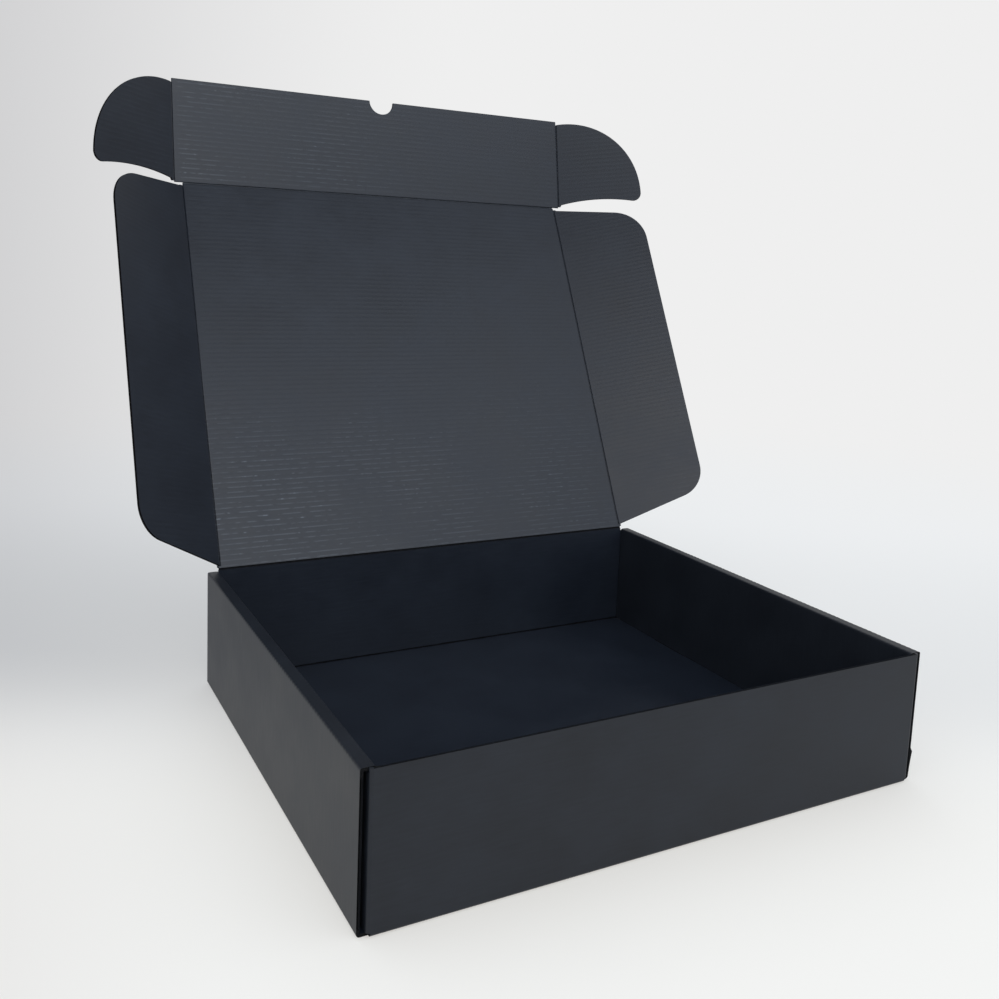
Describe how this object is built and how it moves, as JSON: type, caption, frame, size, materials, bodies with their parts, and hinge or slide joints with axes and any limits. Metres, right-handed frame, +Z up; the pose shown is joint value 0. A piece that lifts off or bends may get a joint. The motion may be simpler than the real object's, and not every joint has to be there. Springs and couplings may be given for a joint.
{
  "type": "corrugated mailer box",
  "caption": "Roll-end mailer box of black corrugated board, open, with a hinged lid, side flaps, a front tuck flap with a thumb notch, and locking ears.",
  "frame": {"origin": "middle of the underside of the tray's base", "axes": "+X along the front towards the right end, +Y from the front wall to the hinged rear wall, +Z up"},
  "size_m": [0.4225, 0.3971, 0.3845],
  "materials": {
    "tray_board": "black-dyed kraft liner, smooth and slightly satin outside",
    "lid_board": "black-dyed kraft liner, matte, with the faint ribs of the fluting"
  },
  "bodies": {
    "tray": {"tray": "tray_board"},
    "lid": {"lid_panel": "lid_board"},
    "left_side_flap": {"left_side_flap": "lid_board"},
    "right_side_flap": {"right_side_flap": "lid_board"},
    "tuck_flap": {"tuck_flap": "lid_board"},
    "left_ear": {"left_ear": "lid_board"},
    "right_ear": {"right_ear": "lid_board"}
  },
  "joints": [
    {"name": "lid_hinge", "type": "hinge", "parent": "tray", "child": "lid", "pos_m": [0, 0.13325, 0.07235], "axis": [-1, 0, 0], "range_deg": [-60, 63.9]},
    {"name": "left_side_flap_crease", "type": "hinge", "parent": "lid", "child": "left_side_flap", "pos_m": [-0.1501, 0.13325, 0.07235], "axis": [0, -0.4399, -0.898], "range_deg": [-48.5, 41.5]},
    {"name": "right_side_flap_crease", "type": "hinge", "parent": "lid", "child": "right_side_flap", "pos_m": [0.1501, 0.13325, 0.07235], "axis": [0, 0.4399, 0.898], "range_deg": [-59.4, 30.6]},
    {"name": "tuck_flap_crease", "type": "hinge", "parent": "lid", "child": "tuck_flap", "pos_m": [0, 0.25126, 0.31325], "axis": [-1, 0, 0], "range_deg": [-14, 17.2]},
    {"name": "left_ear_crease", "type": "hinge", "parent": "tuck_flap", "child": "left_ear", "pos_m": [-0.1555, 0.25126, 0.31325], "axis": [0, -0.1547, -0.988], "range_deg": [-55.3, 34.7]},
    {"name": "right_ear_crease", "type": "hinge", "parent": "tuck_flap", "child": "right_ear", "pos_m": [0.1555, 0.25126, 0.31325], "axis": [0, 0.1547, 0.988], "range_deg": [-51.5, 38.5]}
  ]
}
